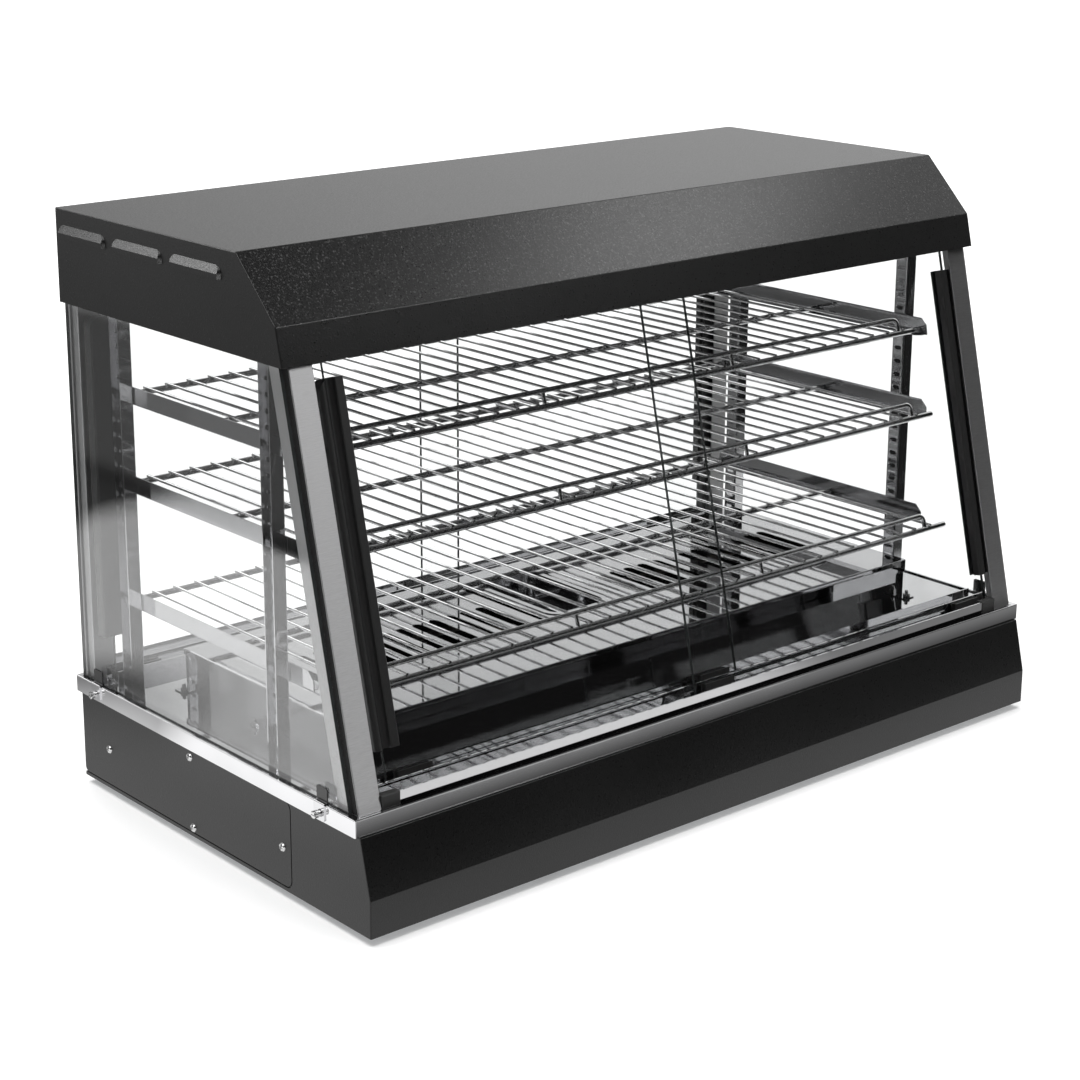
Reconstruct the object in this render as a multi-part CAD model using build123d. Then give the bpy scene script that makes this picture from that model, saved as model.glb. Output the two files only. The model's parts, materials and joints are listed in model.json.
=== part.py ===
from build123d import *
import math
import os

# Counter-top hot food merchandiser: powder-coated base and hood, polished deck,
# sloping front with two sliding glass doors, two sliding glass doors at the back,
# three wire shelves on slotted strips, a vented heat deck with a water pan.
#
# All lengths in millimetres.  The drawing frame has X along the width (symmetric),
# Y front to back, Z up from the bottom edge of the base.  OFFSET moves the drawing
# frame to the finished frame, whose origin is the middle of the footprint on the
# surface the cabinet stands on.

# ---------------------------------------------------------------- dimensions
OFFSET = (0.0, -4.4, 8.0)

# base
BASE_HW = 457.0            # half width
BASE_REAR = 240.0
BASE_FRONT = -249.4
BASE_FACET_Z = 36.5        # where the front starts to lean back
BASE_TOP_FRONT = -236.0
BASE_H = 92.8
SHEET_P = 1.5              # painted sheet

FOOT_H = 8.0
FOOT_X, FOOT_YF, FOOT_YR = 395.0, -195.0, 190.0

# deck tray
TRAY_HW = 460.8
TRAY_F, TRAY_R = -233.3, 244.3
TRAY_TOP = 109.8
FLOOR_Z = 108.7

# slope of the front: dy/dz
SLOPE = 0.236
TH = math.atan(SLOPE)
ZREF = 110.0

# posts, side glass
POST_IN, POST_OUT = 426.5, 452.5
POST_F = -227.5            # front face at ZREF
POST_DEPTH = 30.0
RPOST_IN = 428.5
RPOST_F, RPOST_R = 220.0, 244.0
SHEET_S = 1.2              # stainless sheet
GLASS_T = 4.0
SIDE_GLASS_X = 453.0
SIDE_GLASS_F = -219.5      # at ZREF
SIDE_GLASS_R = 236.0

# hood
HOOD_HW = 462.0
HOOD_PTS = [(237.6, 500.4), (237.6, 593.6), (-73.4, 593.6), (-131.5, 535.4), (-140.0, 500.4)]
LINER_Z = 515.4

# slotted strips and shelf rails
STRIP_WEB = 423.6
STRIP_FLANGE = 437.3
STRIP_F = (-83.0, -66.5)
STRIP_R = (172.0, 189.5)
SLOT_PITCH = 15.25
RAIL_X0, RAIL_X1 = 421.1, 422.3
RAIL_Y0, RAIL_Y1 = -121.0, 198.0
RAIL_H = 18.0
RAIL_TOPS = {"top": 420.0, "middle": 328.5, "bottom": 206.5}
SHELF_FRONT = {"top": -105.0, "middle": -130.0, "bottom": -156.5}
SHELF_MID = {"top": 48.0, "middle": 34.0, "bottom": 16.5}
SHELF_REAR = 196.5
ROD_D, WIRE_D, FENCE_D = 6.3, 3.0, 5.0
WIRE_PITCH = 25.4

# doors: (x0, x1) of the glass
DOOR_W = 450.5
FD_OUT_Y = -214.5          # outer face of the outer front door at ZREF
FD_IN_Y = -194.0           # outer face of the inner front door at ZREF
FD_RIGHT = (-21.0, 429.5)
FD_LEFT = (-393.5, 57.0)
RD_OUT_Y = 227.0
RD_IN_Y = 204.0
RD_RIGHT = (-21.0, 429.5)
RD_LEFT = (-436.5, 14.0)
DOOR_Z0, DOOR_Z1 = 113.2, 508.0

# heat deck
DECK_HW = 392.8
DECK_F, DECK_R = -127.5, 145.9
DECK_TOP = 150.0

os.makedirs("parts", exist_ok=True)


# ------------------------------------------------------------------- helpers
def bx(x0, x1, y0, y1, z0, z1):
    return Pos((x0 + x1) / 2, (y0 + y1) / 2, (z0 + z1) / 2) * Box(abs(x1 - x0), abs(y1 - y0), abs(z1 - z0))


def mbx(side, x0, x1, y0, y1, z0, z1):
    """box given by |x|, put on side -1 or +1"""
    return bx(side * x0, side * x1, y0, y1, z0, z1)


def poly(pts, rounds=None):
    sk = make_face(Polyline([(p[0], p[1]) for p in pts], close=True))
    if rounds:
        for r, wanted in rounds:
            vs = [v for v in sk.vertices() if any(abs(v.X - w[0]) < 1e-3 and abs(v.Y - w[1]) < 1e-3 for w in wanted)]
            sk = fillet(vs, r)
    return sk


def yz(pts, x0, x1, rounds=None):
    """polygon given as (y, z), swept from x0 to x1"""
    lo, hi = min(x0, x1), max(x0, x1)
    return extrude(Plane.YZ.offset(lo) * poly(pts, rounds), amount=hi - lo)


def xz(pts, y0, y1, rounds=None):
    lo, hi = min(y0, y1), max(y0, y1)
    return extrude(Plane.XZ.offset(-hi) * poly(pts, rounds), amount=hi - lo)


def xy(sk, z0, z1):
    return extrude(Plane.XY.offset(z0) * sk, amount=z1 - z0)


def cylx(x0, x1, y, z, r):
    return Pos((x0 + x1) / 2, y, z) * (Rot(0, 90, 0) * Cylinder(r, abs(x1 - x0)))


def cyly(x, y0, y1, z, r):
    return Pos(x, (y0 + y1) / 2, z) * (Rot(90, 0, 0) * Cylinder(r, abs(y1 - y0)))


def cylz(x, y, z0, z1, r):
    return Pos(x, y, (z0 + z1) / 2) * Cylinder(r, abs(z1 - z0))


def slot_y(x, y0, y1, w, z0, z1):
    """obround through Z, long side along Y"""
    L = abs(y1 - y0)
    return xy(Pos(x, (y0 + y1) / 2) * (Rot(0, 0, 90) * SlotOverall(L, w)), z0, z1)


def slot_x(x0, x1, y, w, z0, z1):
    return xy(Pos((x0 + x1) / 2, y) * SlotOverall(abs(x1 - x0), w), z0, z1)


def ysl(y_ref, z):
    return y_ref + SLOPE * (z - ZREF)


def slope_plane(x, y_ref):
    """local x = X, local y = square to the sloping face going inwards, local z up the slope"""
    return Plane(origin=(x, y_ref, ZREF), x_dir=(1, 0, 0), z_dir=(0, math.sin(TH), math.cos(TH)))


def slope_box(x0, x1, y_ref, v0, v1, w0, w1):
    pl = slope_plane(0, y_ref)
    sk = Pos((x0 + x1) / 2, (v0 + v1) / 2) * Rectangle(abs(x1 - x0), abs(v1 - v0))
    return extrude(pl.offset(w0) * sk, amount=w1 - w0)


def slope_prof(sk, x, y_ref, w0, w1):
    return extrude(slope_plane(x, y_ref).offset(w0) * sk, amount=w1 - w0)


def up_prof(sk, x, y, z0, z1):
    """profile in the XY plane moved to (x, y), standing up"""
    return extrude(Plane.XY.offset(z0) * (Pos(x, y) * sk), amount=z1 - z0)


def edges_near(solid, test):
    out = []
    for e in solid.edges():
        c = e.center()
        if test(e, c):
            out.append(e)
    return out


def soft(solid, edges, r):
    """small edge round; the sharp solid is kept where the kernel can't make it"""
    try:
        res = fillet(edges, r)
        if res is not None and res.volume > 0:
            return res
    except Exception as err:
        print("round skipped", r, err)
    return solid


def mirror_x(s):
    return mirror(s, Plane.YZ)


written = {}


def put(name, *solids):
    """write one node: each solid moved into the finished frame"""
    out = []
    for s in solids:
        for one in s.solids():
            out.append(Pos(*OFFSET) * one)
    comp = out[0] if len(out) == 1 else Compound(children=[Solid(o.wrapped) if not isinstance(o, Solid) else o for o in out])
    comp.label = name
    export_step(comp, "parts/%s.step" % name)
    written[name] = len(out)


# ----------------------------------------------------------------- base shell
outer = yz([(BASE_REAR, 0), (BASE_FRONT, 0), (BASE_FRONT, BASE_FACET_Z), (BASE_TOP_FRONT, BASE_H), (BASE_REAR, BASE_H)],
           -BASE_HW, BASE_HW, rounds=[(3.0, [(BASE_FRONT, BASE_FACET_Z)])])
outer = soft(outer, edges_near(outer, lambda e, c: abs(abs(c.X) - BASE_HW) < 0.01 and c.Y < -238 and e.length > 20), 1.3)
outer = soft(outer, edges_near(outer, lambda e, c: abs(c.Z - BASE_H) < 0.01 and e.length > 800 and c.Y < 0), 1.0)
inner = yz([(BASE_REAR - SHEET_P, -1), (BASE_FRONT + SHEET_P, -1), (BASE_FRONT + SHEET_P, BASE_FACET_Z + 0.2),
            (BASE_TOP_FRONT + SHEET_P + 0.35, BASE_H - SHEET_P), (BASE_REAR - SHEET_P, BASE_H - SHEET_P)],
           -BASE_HW + SHEET_P, BASE_HW - SHEET_P)
base = outer - inner
base -= bx(-441, 441, -219, 224, 90, 94)                     # open top inside the folded flange
PAN_Y0, PAN_Y1, PAN_Z0, PAN_Z1 = -128.3, BASE_REAR, 4.8, 90.3   # access panels
for s in (-1, 1):
    hole = yz([(PAN_Y0 - 1.3, PAN_Z0 - 1.2), (BASE_REAR + 2, PAN_Z0 - 1.2), (BASE_REAR + 2, PAN_Z1 + 1.1), (PAN_Y0 - 1.3, PAN_Z1 + 1.1)],
              s * (BASE_HW - SHEET_P), s * (BASE_HW + 1),
              rounds=[(9.0, [(PAN_Y0 - 1.3, PAN_Z0 - 1.2), (PAN_Y0 - 1.3, PAN_Z1 + 1.1)])])
    base -= hole
    ring = mbx(s, BASE_HW - SHEET_P - 1.5, BASE_HW - SHEET_P, -141, BASE_REAR - SHEET_P + 0.1, 1.6, 91.4)
    ring -= yz([(-112, 18), (222, 18), (222, 76), (-112, 76)], s * 453, s * 456,
               rounds=[(8.0, [(-112, 18), (222, 18), (222, 76), (-112, 76)])])
    base += ring
PANEL_SCREWS = [(190.0, 43.3), (38.9, 83.0), (36.3, 9.6), (-115.4, 42.7)]
for s in (-1, 1):
    for y, z in PANEL_SCREWS:
        base -= cylx(s * 450, s * 458, y, z, 2.05)
# control cut-outs in the back wall
KNOB_X, CTRL_Z = 352.0, 46.0
SW_X = {"power": 286.0, "light": 246.0}
GLAND_X, GLAND_Z = -384.0, 34.0
base -= cyly(KNOB_X, 230, 245, CTRL_Z, 5.0)
for k in SW_X:
    base -= bx(SW_X[k] - 10.2, SW_X[k] + 10.2, 230, 245, CTRL_Z - 14.2, CTRL_Z + 14.2)
base -= cyly(GLAND_X, 230, 245, GLAND_Z, 8.1)
for i in range(9):                                            # air slots in the back wall
    base -= Pos(-120 + i * 30, 239, 50) * Box(5, 6, 36)
put("base_housing", base)

# bottom plate with air slots
bot = bx(-455.3, 455.3, BASE_FRONT + 1.7, BASE_REAR - 1.7, 0.0, 1.5)
cuts = []
for gx in (-230, 230):
    for i in range(10):
        cuts.append(slot_y(gx + (i - 4.5) * 16, -60, 60, 6, -1, 3))
for sx in (-1, 1):
    for fy in (FOOT_YF, FOOT_YR):
        cuts.append(cylz(sx * FOOT_X, fy, -1, 3, 2.55))
bot -= cuts
put("base_bottom_plate", bot)

# feet
feet = []
for sx in (-1, 1):
    for fy in (FOOT_YF, FOOT_YR):
        sk = make_face(Polyline([(4.6, -FOOT_H), (13.0, -FOOT_H), (15.0, -1.2), (15.0, 0.0), (2.5, 0.0), (2.5, -3.4), (4.6, -3.4)], close=True))
        f = revolve(Plane.XZ * sk, Axis.Z)
        feet.append(Pos(sx * FOOT_X, fy, 0) * f)
put("rubber_feet", *feet)
fscrews = []
for sx in (-1, 1):
    for fy in (FOOT_YF, FOOT_YR):
        sk = make_face(Polyline([(0, -6.6), (3.2, -6.6), (4.4, -5.6), (4.4, -3.5), (2.45, -3.5), (2.45, 6.0), (0, 6.0)], close=True))
        fscrews.append(Pos(sx * FOOT_X, fy, 0) * revolve(Plane.XZ * sk, Axis.Z))
put("foot_screws", *fscrews)

# access panels
panel_pts = [(PAN_Y0, PAN_Z0), (PAN_Y1, PAN_Z0), (PAN_Y1, PAN_Z1), (PAN_Y0, PAN_Z1)]
pscrews = []
for name, s in (("left", -1), ("right", 1)):
    p = yz(panel_pts, s * (BASE_HW - SHEET_P), s * BASE_HW,
           rounds=[(8.0, [(PAN_Y0, PAN_Z0), (PAN_Y0, PAN_Z1)]), (5.0, [(PAN_Y1, PAN_Z0)])])
    for y, z in PANEL_SCREWS:
        p -= cylx(s * 450, s * 460, y, z, 2.25)
        sk = make_face(Polyline([(0, 2.4), (1.6, 2.4), (3.4, 1.7), (4.3, 0.7), (4.5, 0.0), (2.0, 0.0), (2.0, -5.0), (0, -5.0)], close=True))
        sc = revolve(Plane.XZ * sk, Axis.Z)
        rec = Pos(0, 0, 2.2) * (Box(0.9, 4.4, 1.8) + Box(4.4, 0.9, 1.8))
        sc -= rec
        pscrews.append(Pos(s * BASE_HW, y, z) * (Rot(0, 90 * s, 0) * sc))
    put("access_panel_" + name, p)
put("access_panel_screws", *pscrews)

# ---------------------------------------------------------------- deck tray
tray = bx(-TRAY_HW, TRAY_HW, TRAY_F, TRAY_R, BASE_H, TRAY_TOP)
tray = soft(tray, edges_near(tray, lambda e, c: abs(c.Z - 101.3) < 0.1 and e.length < 20), 1.6)
tray = soft(tray, edges_near(tray, lambda e, c: abs(c.Z - TRAY_TOP) < 0.01), 0.8)
tray -= bx(-450.8, 450.8, TRAY_F + 1.5, TRAY_R - 1.5, BASE_H + 1.4, 107.3)
for s in (-1, 1):
    tray -= mbx(s, 450.7, TRAY_HW - 1.5, TRAY_F + 1.5, TRAY_R - 1.5, BASE_H + 1.4, 102.4)
tray -= bx(-438, 438, -214, 220, BASE_H - 1, BASE_H + 3)
tray -= bx(-452.5, 452.5, -228.1, TRAY_R + 1, FLOOR_Z, TRAY_TOP + 1)
for s in (-1, 1):
    tray -= mbx(s, 452.4, 457.7, -221.2, SIDE_GLASS_R + 0.6, 103.9, TRAY_TOP + 1)
for yg in (-229.4, -230.7):
    tray -= bx(-452.5, 452.5, yg - 0.35, yg + 0.35, TRAY_TOP - 0.7, TRAY_TOP + 1)
CLIP_Y = (204.0, -181.0)
CLIP_SCREW_Z = 100.2
CLIP_TOP = 125.0
for s in (-1, 1):
    for cy in CLIP_Y:
        tray -= cylx(s * 458, s * 462, cy, CLIP_SCREW_Z, 2.05)
put("tray", tray)

# --------------------------------------------------------------- door tracks
TRK = 121.6
ft = bx(-440, 440, -217.4, -178.8, FLOOR_Z, 109.9) + bx(-405.5, 405.5, -227.0, -217.3, FLOOR_Z, 109.9)
ft += bx(-405.5, 405.5, -227.0, -225.5, FLOOR_Z, TRK)
ft += bx(-440, 440, -204.2, -202.8, FLOOR_Z, TRK)
ft += bx(-440, 440, -180.3, -178.8, FLOOR_Z, 119.0)
for yc in (-215.0, -192.5):                                   # low guide ribs
    ft += bx(-404, 404, yc - 7.2, yc - 6.4, 109.8, 110.8)
put("front_track", ft)
rt = bx(-427.9, 427.9, 219.0, 244.0, FLOOR_Z, 109.9) + bx(-440, 440, 194.5, 219.6, FLOOR_Z, 109.9)
rt += bx(-427.9, 427.9, 242.6, 244.0, FLOOR_Z, TRK)
rt += bx(-440, 440, 218.2, 219.6, FLOOR_Z, TRK)
rt += bx(-440, 440, 194.5, 195.9, FLOOR_Z, TRK)
put("rear_track", rt)

blocks = []
for s in (-1, 1):
    b = yz([(-228.0, FLOOR_Z), (-217.5, FLOOR_Z), (-217.5, 118.0), (-220.0, 122.0), (-228.0 + 0.6, 122.0), (-228.0, 121.0)],
           s * 405.6, s * 426.4)
    b = soft(b, edges_near(b, lambda e, c: abs(c.Y + 228.0) < 0.01 and abs(abs(c.X) - 416) > 9 and e.length > 8), 0.8)
    blocks.append(b)
    b2 = mbx(s, 418.0, 427.6, 236.4, 242.5, 109.9, 121.0)
    b2 = soft(b2, edges_near(b2, lambda e, c: abs(c.Z - 121.0) < 0.01), 0.8)
    blocks.append(b2)
put("track_stop_blocks", *blocks)

# ----------------------------------------------------------- glass clips
clips, cscrews = [], []
for s in (-1, 1):
    for cy in CLIP_Y:
        y0, y1 = cy - 8, cy + 8
        c = mbx(s, TRAY_HW + 0.1, TRAY_HW + 1.3, y0, y1, 93.6, 111.1)
        c += mbx(s, 457.15, TRAY_HW + 1.3, y0, y1, 109.9, 111.1)
        c += mbx(s, 457.15, 458.35, y0, y1, 110.0, CLIP_TOP)
        c = soft(c, edges_near(c, lambda e, q: abs(q.Z - 111.1) < 0.01 and abs(abs(q.X) - (TRAY_HW + 1.3)) < 0.01), 1.0)
        c = soft(c, edges_near(c, lambda e, q: e.length < 1.5 and (abs(q.Z - 93.6) < 0.01 or abs(q.Z - CLIP_TOP) < 0.01)), 2.5)
        c -= cylx(s * 455, s * 466, cy, CLIP_SCREW_Z, 2.2)
        clips.append(c)
        sk = make_face(Polyline([(0, 6.8), (2.9, 6.8), (3.7, 6.1), (3.7, 1.4), (2.8, 0.8), (2.8, 0.0), (1.95, 0.0), (1.95, -5.5), (0, -5.5)], close=True))
        sc = revolve(Plane.XZ * sk, Axis.Z)
        grooves = [Pos(3.9 * math.cos(a), 3.9 * math.sin(a), 3.8) * Cylinder(0.38, 5.4)
                   for a in [i * math.pi / 9 for i in range(18)]]
        sc -= grooves
        sc -= Pos(0, 0, 6.6) * Box(0.9, 8, 1.4)
        cscrews.append(Pos(s * (TRAY_HW + 1.3), cy, CLIP_SCREW_Z) * (Rot(0, 90 * s, 0) * sc))
put("glass_clips", *clips)
put("clip_thumb_screws", *cscrews)

# ----------------------------------------------------------------- posts
POST_TOP = 515.2
for name, s in (("left", -1), ("right", 1)):
    t = SHEET_S / math.cos(TH)
    z0, z1 = FLOOR_Z, POST_TOP
    fl = yz([(ysl(POST_F, z0), z0), (ysl(POST_F, z0) + t, z0), (ysl(POST_F, z1) + t, z1), (ysl(POST_F, z1), z1)],
            s * POST_IN, s * POST_OUT)
    web = yz([(ysl(POST_F, z0), z0), (ysl(POST_F, z0) + POST_DEPTH, z0), (ysl(POST_F, z1) + POST_DEPTH, z1), (ysl(POST_F, z1), z1)],
             s * (POST_OUT - SHEET_S), s * POST_OUT)
    inr = yz([(ysl(POST_F, z0), z0), (ysl(POST_F, z0) + 2.6, z0), (ysl(POST_F, z1) + 2.6, z1), (ysl(POST_F, z1), z1)],
             s * POST_IN, s * (POST_IN + SHEET_S))
    p = fl + web + inr
    p = soft(p, edges_near(p, lambda e, c: e.length > 380 and abs(abs(c.X) - POST_OUT) < 0.01 and abs(c.Y - ysl(POST_F, c.Z)) < 0.05), 1.0)
    p = soft(p, edges_near(p, lambda e, c: e.length > 380 and abs(abs(c.X) - POST_IN) < 0.01 and abs(c.Y - ysl(POST_F, c.Z)) < 0.05), 0.8)
    put("front_post_" + name, p)
    r = mbx(s, RPOST_IN, POST_OUT, RPOST_F, RPOST_R, FLOOR_Z, POST_TOP)
    r -= mbx(s, RPOST_IN - 1, POST_OUT - SHEET_S, RPOST_F + SHEET_S, RPOST_R - SHEET_S, FLOOR_Z - 1, POST_TOP + 1)
    r = soft(r, edges_near(r, lambda e, c: e.length > 380 and abs(abs(c.X) - POST_OUT) < 0.01), 1.0)
    r -= mbx(s, RPOST_IN - 1, POST_OUT + 1, 236.0, RPOST_R + 1, 499.6, POST_TOP + 1)
    put("rear_post_" + name, r)
    g0, g1 = 104.0, 514.8
    g = yz([(ysl(SIDE_GLASS_F, g0), g0), (SIDE_GLASS_R, g0), (SIDE_GLASS_R, g1), (ysl(SIDE_GLASS_F, g1), g1)],
           s * SIDE_GLASS_X, s * (SIDE_GLASS_X + GLASS_T))
    g = soft(g, edges_near(g, lambda e, c: e.length > 380), 0.5)
    put("side_glass_" + name, g)

# ----------------------------------------------------- slotted strips and rails
SLOT_Z0 = RAIL_TOPS["top"] - 9.0
slot_zs = [SLOT_Z0 + SLOT_PITCH * k for k in range(-19, 7)]
for name, s in (("left", -1), ("right", 1)):
    group = []
    for (y0, y1) in (STRIP_F, STRIP_R):
        sk = make_face(Polyline([(STRIP_WEB - SHEET_S, y0), (STRIP_FLANGE, y0), (STRIP_FLANGE, y0 + SHEET_S), (STRIP_WEB, y0 + SHEET_S),
                                 (STRIP_WEB, y1 - SHEET_S), (STRIP_FLANGE, y1 - SHEET_S), (STRIP_FLANGE, y1), (STRIP_WEB - SHEET_S, y1)], close=True))
        sk = fillet([v for v in sk.vertices() if abs(v.X - (STRIP_WEB - SHEET_S)) < 1e-3], 1.8)
        st = xy(sk, FLOOR_Z, 514.0)
        yc = (y0 + y1) / 2
        cuts = []
        for z in slot_zs:
            o = extrude(Plane.YZ.offset(STRIP_WEB - 2.5) * (Pos(yc, z) * SlotOverall(10.6, 4.6)), amount=4)
            cuts.append(o)
        st -= cuts
        if s < 0:
            st = mirror_x(st)
        group.append(st)
    put("slotted_strips_" + name, *group)

for level, zt in RAIL_TOPS.items():
    for name, s in (("left", -1), ("right", 1)):
        z0 = zt - RAIL_H
        ch = 8.0
        if level == "top":                                       # nose cut back to clear the sloping inner door
            nose = [(RAIL_Y0 + 13.5, zt), (RAIL_Y0 + 6.0, zt - 7.0), (RAIL_Y0 + 4.2, z0)]
        else:
            nose = [(RAIL_Y0 + ch, zt), (RAIL_Y0, zt - ch), (RAIL_Y0, z0)]
        pl = yz([nose[2], (RAIL_Y1, z0), (RAIL_Y1, zt), nose[0], nose[1]], s * RAIL_X0, s * RAIL_X1)
        ly = nose[2][0] + 2.5
        led = mbx(s, 409.0, RAIL_X1, ly, RAIL_Y1, z0, z0 + 1.2)
        led -= xy(Pos(s * 409.0, ly) * (Rot(0, 0, 45) * Rectangle(9, 9)), z0 - 1, z0 + 2)
        rl = pl + led
        rl = soft(rl, edges_near(rl, lambda e, c: e.length > 250 and abs(abs(c.X) - RAIL_X1) < 0.01 and abs(c.Z - z0) < 0.01), 1.0)
        zc = zt - 9.0
        for (y0, y1) in (STRIP_F, STRIP_R):
            yc = (y0 + y1) / 2
            rl += mbx(s, RAIL_X1 - 0.2, 427.2, yc - 4.0, yc + 4.0, zc - 1.0, zc + 1.0)
            rl += mbx(s, 425.8, 427.2, yc - 4.0, yc + 4.0, zc - 5.5, zc + 1.0)
        put("shelf_rail_%s_%s" % (level, name), rl)

# ------------------------------------------------------------- wire shelves
for level, zt in RAIL_TOPS.items():
    zr = zt - 13.4
    yf, ym, yr = SHELF_FRONT[level], SHELF_MID[level], SHELF_REAR
    pieces = []
    for y in (yf, ym, yr):
        c = cylx(-419.5, 419.5, y, zr, ROD_D / 2)
        c = soft(c, c.edges().filter_by(GeomType.CIRCLE), 1.0)
        pieces.append(c)
    zw = zr + ROD_D / 2 + WIRE_D / 2 - 0.35
    for k in range(16):
        for s in (-1, 1):
            x = s * (WIRE_PITCH / 2 + WIRE_PITCH * k)
            w = cyly(x, yf - 2.2, yr + 1.8, zw, WIRE_D / 2)
            pieces.append(w)
    # front fence: one bent rod
    zf = zr + 15.2
    yo = yf + 4.5
    path = FilletPolyline([(-387.5, yf + 0.6, zr + 1.0), (-387.5, yo, zf), (387.5, yo, zf), (387.5, yf + 0.6, zr + 1.0)], radius=7.0)
    prof = Plane(origin=path @ 0, z_dir=path % 0) * Circle(FENCE_D / 2)
    fence = sweep(prof, path=path)
    pieces.append(fence)
    for x in (-129.0, 129.0):
        a, b = Vector(x, yf + 0.6, zr + 1.0), Vector(x, yo - 0.3, zf - 0.6)
        d = b - a
        pieces.append(extrude(Plane(origin=a, z_dir=d) * Circle(2.0), amount=d.length))
    body = pieces[0]
    body = body.fuse(*pieces[1:]) if hasattr(body, "fuse") else body + pieces[1:]
    if isinstance(body, (list, ShapeList)):
        body = Compound(children=list(body))
    print(level, "shelf solids", len(body.solids()))
    put("wire_shelf_" + level, body)

# ----------------------------------------------------------------- hood
ho = yz(HOOD_PTS, -HOOD_HW, HOOD_HW,
        rounds=[(2.0, [HOOD_PTS[2], HOOD_PTS[3]]), (1.5, [HOOD_PTS[1]])])
ho = soft(ho, edges_near(ho, lambda e, c: abs(abs(c.X) - HOOD_HW) < 0.01 and e.length > 30 and c.Z > 505), 1.2)
H1 = 1.2
hi_pts = [(HOOD_PTS[0][0] - H1, 499), (HOOD_PTS[1][0] - H1, HOOD_PTS[1][1] - H1), (HOOD_PTS[2][0] + 0.45, HOOD_PTS[2][1] - H1),
          (HOOD_PTS[3][0] + 1.1, HOOD_PTS[3][1] - 0.35), (HOOD_PTS[4][0] + H1 - 0.33, 499)]
ho -= yz(hi_pts, -HOOD_HW + H1, HOOD_HW - H1)
LOUVRES = [(145.8, 230.4), (47.2, 131.4), (-49.8, 32.0)]
LZ0, LZ1, L_PROUD = 565.2, 577.8, 3.2       # mouth, top and depth of the louvres
for s in (-1, 1):
    for y0, y1 in LOUVRES:
        def louvre(inset, proud, zb):
            """Scoop: straight open mouth below, sloping rounded shoulders, roof sloping back into the wall."""
            g = 1.0 - inset
            d = make_face(Polyline([(y0 - g, zb - 8), (y1 + g, zb - 8), (y1 + g, LZ1 + g), (y0 - g, LZ1 + g)], close=True))
            d = fillet([v for v in d.vertices() if v.Y > LZ1 + g - 0.1], 8.0 + g)
            base = Plane(origin=(s * (HOOD_HW - 1.3), 0, 0), x_dir=(0, 1, 0), z_dir=(1, 0, 0))
            d = extrude(base * d, amount=s * 6.5, taper=38)
            x = HOOD_HW + proud
            w = xz([(s * (HOOD_HW - 1.3), zb), (s * x, zb), (s * x, LZ0 + 5.0), (s * (x - 0.7), LZ0 + 7.2), (s * (HOOD_HW - 1.3 + 1.4), LZ1 - inset + 0.01), (s * (HOOD_HW - 1.3), LZ1 - inset + 0.01)], y0 - 3, y1 + 3)
            return d & w
        lo = louvre(0.0, L_PROUD, LZ0)
        ho = ho + lo
        ho -= louvre(1.3, L_PROUD - 1.1, LZ0 - 0.5) & bx(s * (HOOD_HW - 3), s * (HOOD_HW + 4), y0, y1, LZ0 - 0.6, LZ1)
        ho += bx(s * (HOOD_HW - H1), s * HOOD_HW, y0 - 2, y1 + 2, LZ0 - 2.0, LZ0 + 0.6)
put("hood_shell", ho)

# liner: ceiling sheet with the two upper door tracks folded in
ln = bx(-460.5, 460.5, -133.2, 236.1, LINER_Z, LINER_Z + 1.2)
ln -= bx(-460.6, -455, -134, -131, LINER_Z - 1, LINER_Z + 3)
for y0, y1 in ((-127.0, -125.8), (-111.0, -109.8), (-91.4, -90.2), (218.2, 219.4), (194.5, 195.7), (235.0, 236.1)):
    ln += bx(-425.0, 425.0, y0, y1, 500.9, LINER_Z + 0.5)
for yl in (-20.0, 110.0):                                    # lamp windows
    ln -= bx(-330, 330, yl - 17, yl + 17, LINER_Z - 1, LINER_Z + 3)
put("hood_liner", ln)

# lamp holders and tubular lamps above the liner windows
holders, lamps = [], []
for yl in (-20.0, 110.0):
    for s in (-1, 1):
        h = mbx(s, 331.0, 352.0, yl - 13, yl + 13, LINER_Z + 1.2, LINER_Z + 27)
        h = soft(h, edges_near(h, lambda e, c: abs(c.Z - (LINER_Z + 27)) < 0.01), 2.0)
        h -= cylx(s * 330, s * 343, yl, LINER_Z + 14, 6.2)
        holders.append(h)
    tube = cylx(-342.5, 342.5, yl, LINER_Z + 14, 6.0)
    tube = soft(tube, tube.edges().filter_by(GeomType.CIRCLE), 1.5)
    lamps.append(tube)
put("lamp_holders", *holders)
put("heat_lamps", *lamps)

# ---------------------------------------------------------------- doors
W0, W1 = (DOOR_Z0 - ZREF) / math.cos(TH), (DOOR_Z1 - ZREF) / math.cos(TH)


def door_glass_front(x0, x1, yref):
    g = slope_box(x0, x1, yref, 0, GLASS_T, W0, W1)
    return soft(g, edges_near(g, lambda e, c: e.length > 300), 0.6)


put("front_door_glass_right", door_glass_front(FD_RIGHT[0], FD_RIGHT[1], FD_OUT_Y))
put("front_door_glass_left", door_glass_front(FD_LEFT[0], FD_LEFT[1], FD_IN_Y))


def door_glass_rear(x0, x1, y0):
    g = bx(x0, x1, y0, y0 + GLASS_T, DOOR_Z0, DOOR_Z1)
    return soft(g, edges_near(g, lambda e, c: e.length > 300), 0.6)


put("rear_door_glass_right", door_glass_rear(RD_RIGHT[0], RD_RIGHT[1], RD_OUT_Y))
put("rear_door_glass_left", door_glass_rear(RD_LEFT[0], RD_LEFT[1], RD_IN_Y))


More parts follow.
